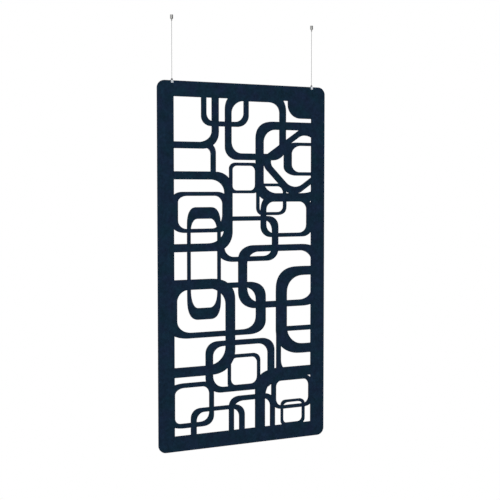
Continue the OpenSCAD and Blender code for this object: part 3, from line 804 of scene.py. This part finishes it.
def extruded(name, outline, place, direction, material):
    """A plate: a closed outline in mm, placed point by point and drawn out."""
    form = bmesh.new()
    flat = form.faces.new([form.verts.new(place(u, v)) for u, v in outline])
    drawn = bmesh.ops.extrude_face_region(form, geom=[flat])["geom"]
    bmesh.ops.translate(
        form, verts=[part for part in drawn if isinstance(part, bmesh.types.BMVert)],
        vec=direction)
    return finished(name, form, material)


inner_front, inner_back = FRONT_Y + FRONT_T + INNER_BEND, BACK_Y - BACK_T - INNER_BEND
saddle = (
    [(FRONT_Y, LEG_Z)]
    + arc((FRONT_Y + OUTER_BEND, BRIDGE_Z - OUTER_BEND), OUTER_BEND, 180, 90)
    + arc((BACK_Y - OUTER_BEND, BRIDGE_Z - OUTER_BEND), OUTER_BEND, 90, 0)
    + [(BACK_Y, LEG_Z), (BACK_Y - BACK_T, LEG_Z)]
    + arc((inner_back, SHEET_TOP_Z - INNER_BEND), INNER_BEND, 0, 90, steps=3)
    + arc((inner_front, SHEET_TOP_Z - INNER_BEND), INNER_BEND, 90, 180, steps=3)
    + [(FRONT_Y + FRONT_T, LEG_Z)])
for side, x in SIDES.items():
    piece = extruded(
        f"{side}_bracket_bent", saddle,
        lambda y, z: (x - CLAMP_W / 2 * MM, y * MM, z * MM), (CLAMP_W * MM, 0, 0), bright_plate)
    form = bmesh.new()
    form.from_mesh(piece.data)
    corners = [
        edge for edge in form.edges
        if all(abs(vert.co.z - LEG_Z * MM) < NEAR for vert in edge.verts)
        and abs(edge.verts[0].co.x - edge.verts[1].co.x) < NEAR]
    bmesh.ops.bevel(
        form, geom=corners, offset=FOOT_CORNER * MM, segments=8, profile=0.5, affect="EDGES")
    form.to_mesh(piece.data)
    form.free()
    bored(
        piece, (x, 0, (SHEET_TOP_Z - PAST) * MM), (x, 0, (BRIDGE_Z + PAST) * MM),
        (RIVET_R + ROOM) * MM)
    bored(
        piece, (x, (BACK_Y - BACK_T - PAST) * MM, SCREW_Z * MM),
        (x, (BACK_Y + PAST) * MM, SCREW_Z * MM), (SCREW_R + ROOM) * MM)
    bevelled(piece, width=0.22 * MM)
    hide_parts(f"{side}_clamp_bracket")
    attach(piece, "sheet")

# ---- Pressure plate ---------------------------------------------------------
# A small plate behind the felt, which spreads the screw's pressure. It is pressed
# from nickel-plated steel, with its two lower corners rounded.
PLATE_HALF_W, PLATE_TOP_Z, PLATE_FOOT_Z = 6, -417, -429
PLATE_T, PLATE_CORNER = 1.2, 1.5
satin_plate = plated("satin_plate", (0.30, 0.30, 0.295), roughness=0.34, brushed=0.6)
corner_x, corner_z = PLATE_HALF_W - PLATE_CORNER, PLATE_FOOT_Z + PLATE_CORNER
tongue = (
    [(-PLATE_HALF_W, PLATE_TOP_Z), (PLATE_HALF_W, PLATE_TOP_Z)]
    + arc((corner_x, corner_z), PLATE_CORNER, 0, -90)
    + arc((-corner_x, corner_z), PLATE_CORNER, -90, -180))
for side, x in SIDES.items():
    piece = bevelled(extruded(
        f"{side}_plate_pressed", tongue, lambda u, z: (x + u * MM, FELT_T / 2, z * MM),
        (0, PLATE_T * MM, 0), satin_plate), width=0.15 * MM)
    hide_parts(f"{side}_pressure_plate")
    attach(piece, "sheet")

# ---- Clamp screw ------------------------------------------------------------
# A headless M4 screw of dark zinc-plated steel, with a hexagon socket in its
# back end. It runs through the back leg and presses on the plate.
SCREW_MIDDLE_Y, SCREW_LENGTH, SCREW_PITCH = 9.7, 5, 0.7
SOCKET_Y, SOCKET_R = 10.2, 1.155    # its bottom, and its radius over the corners
RINGS_PER_TURN = 8
GROOVE_SLOPE = 0.9                  # of the thread's flanks
END_CHAMFER = 0.5                   # in pitches
rod, given = new_group(
    "threaded rod", "GeometryNodeTree",
    {"Middle": "Vector", "Length": "Float", "Radius": "Float", "Pitch": "Float",
     "Material": "Material"},
    {"Geometry": "Geometry"})
rings = calc(rod, "ROUND", calc(
    rod, "MULTIPLY", calc(rod, "DIVIDE", given["Length"], given["Pitch"]), RINGS_PER_TURN))
stock = add(rod, "GeometryNodeMeshCylinder", {
    "Vertices": 48, "Side Segments": rings, "Radius": given["Radius"],
    "Depth": given["Length"]}).outputs[0]
spot = add(rod, "ShaderNodeSeparateXYZ", {
    0: add(rod, "GeometryNodeInputPosition").outputs[0]}).outputs

# The stock sinks in where the thread's groove winds round it, and at its chamfered ends
winding = calc(rod, "ADD", calc(rod, "DIVIDE", spot[2], given["Pitch"]), calc(
    rod, "DIVIDE", calc(rod, "ARCTAN2", spot[1], spot[0]), 2 * math.pi))
groove = calc(rod, "PINGPONG", winding, 0.5)
from_end = calc(rod, "DIVIDE", calc(
    rod, "SUBTRACT", calc(rod, "DIVIDE", given["Length"], 2),
    calc(rod, "ABSOLUTE", spot[2])), given["Pitch"])
depth = calc(rod, "MULTIPLY", given["Pitch"], calc(
    rod, "MAXIMUM", calc(rod, "MULTIPLY", groove, GROOVE_SLOPE),
    calc(rod, "SUBTRACT", END_CHAMFER, from_end)))
outward = calc_vector(rod, "NORMALIZE", add(rod, "ShaderNodeCombineXYZ", {
    0: spot[0], 1: spot[1]}).outputs[0])
inward = add(rod, "ShaderNodeVectorMath", {
    0: outward, "Scale": calc(rod, "MULTIPLY", depth, -1)}, operation="SCALE").outputs[0]
stock = add(rod, "GeometryNodeSetPosition", {"Geometry": stock, "Offset": inward}).outputs[0]
put_out_piece(rod, stock, given["Middle"], given["Material"], rotation=(-math.pi / 2, 0, 0))
dark_zinc = plated("dark_zinc", (0.16, 0.16, 0.165), roughness=0.34, clouds=0.4)
for side, x in SIDES.items():
    piece = grown(f"{side}_screw_threaded", rod, {
        "Middle": (x, SCREW_MIDDLE_Y * MM, SCREW_Z * MM), "Length": SCREW_LENGTH * MM,
        "Radius": SCREW_R * MM, "Pitch": SCREW_PITCH * MM, "Material": dark_zinc})
    bored(
        piece, (x, SOCKET_Y * MM, SCREW_Z * MM),
        (x, (SCREW_MIDDLE_Y + SCREW_LENGTH / 2 + PAST) * MM, SCREW_Z * MM), SOCKET_R * MM,
        sides=6)
    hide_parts(f"{side}_clamp_screw")
    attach(piece, "sheet")

# ---- Floor and light --------------------------------------------------------
# A plain white studio with a pale floor, and a large soft light from the left. It
# is darker on the right, and straight ahead of the sheet and behind it, so that
# the turned metal shows its roundness.
FLOOR_Z, FLOOR_END = -2.95, 40
WHITE = (1, 1, 1, 1)
AHEAD_X, AHEAD_Y = 0.16, -0.987     # the way ahead, 9 degrees right of square
LIGHTS = (                          # name, place, size and power
    ("key", (-3.2, -4.2, 0.8), 4.0, 95),
    ("back", (2.2, 4.2, 0.5), 3.5, 38))
LIT = Vector((0, 0, -1.2))          # what both lights face
floor_mesh = bpy.data.meshes.new("floor")
floor_mesh.from_pydata([
    (x * FLOOR_END, y * FLOOR_END, FLOOR_Z) for x, y in ((-1, -1), (1, -1), (1, 1), (-1, 1))],
    [], [(0, 1, 2, 3)])
floor = placed("floor", floor_mesh)
pale, tree, shader = new_material(
    "pale_floor", Roughness=0.9, Base_Color=(0.9, 0.9, 0.9, 1), Emission_Color=WHITE,
    Emission_Strength=0.15)
floor_mesh.materials.append(pale)

# To the eye the floor is as white as the rest of the studio, and it hides nothing
# from below
plain = add(tree, "ShaderNodeMixShader", {
    0: add(tree, "ShaderNodeLightPath").outputs["Is Camera Ray"], 1: shader.outputs[0],
    2: add(tree, "ShaderNodeEmission", {"Color": WHITE, "Strength": 1.0}).outputs[0]
    }).outputs[0]
clear = add(tree, "ShaderNodeMixShader", {
    0: add(tree, "ShaderNodeNewGeometry").outputs["Backfacing"], 1: plain,
    2: add(tree, "ShaderNodeBsdfTransparent").outputs[0]}).outputs[0]
tree.links.new(clear, tree.nodes["Material Output"].inputs["Surface"])

world = bpy.data.worlds.new("studio")
bpy.context.scene.world = world
world.use_nodes = True
tree = world.node_tree
tree.nodes.clear()
way = add(tree, "ShaderNodeSeparateXYZ", {
    0: add(tree, "ShaderNodeTexCoord").outputs["Generated"]}).outputs
level = add(tree, "ShaderNodeMapRange", {
    "Value": way[0], "From Min": 0.45, "From Max": 0.95, "To Min": 0.95, "To Max": 0.12},
    interpolation_type="SMOOTHSTEP").outputs[0]
square_on = calc(tree, "ABSOLUTE", calc(
    tree, "ADD", calc(tree, "MULTIPLY", way[0], AHEAD_X),
    calc(tree, "MULTIPLY", way[1], AHEAD_Y)))
ahead = add(tree, "ShaderNodeMapRange", {
    "Value": square_on, "From Min": 0.90, "From Max": 0.985, "To Min": 1.0, "To Max": 0.35},
    interpolation_type="SMOOTHSTEP").outputs[0]
seen = add(tree, "ShaderNodeLightPath").outputs["Is Camera Ray"]
strength = calc(tree, "MAXIMUM", calc(tree, "MULTIPLY", level, ahead), seen)
add(tree, "ShaderNodeOutputWorld", {
    "Surface": add(tree, "ShaderNodeBackground", {
        "Color": WHITE, "Strength": strength}).outputs[0]})
for name, spot, size, power in LIGHTS:
    light = placed(name, bpy.data.lights.new(name, "AREA"))
    light.data.size, light.data.energy = size, power
    light.location = spot
    light.rotation_euler = (LIT - Vector(spot)).to_track_quat("-Z", "Y").to_euler()
bpy.context.scene.view_settings.view_transform = "Standard"
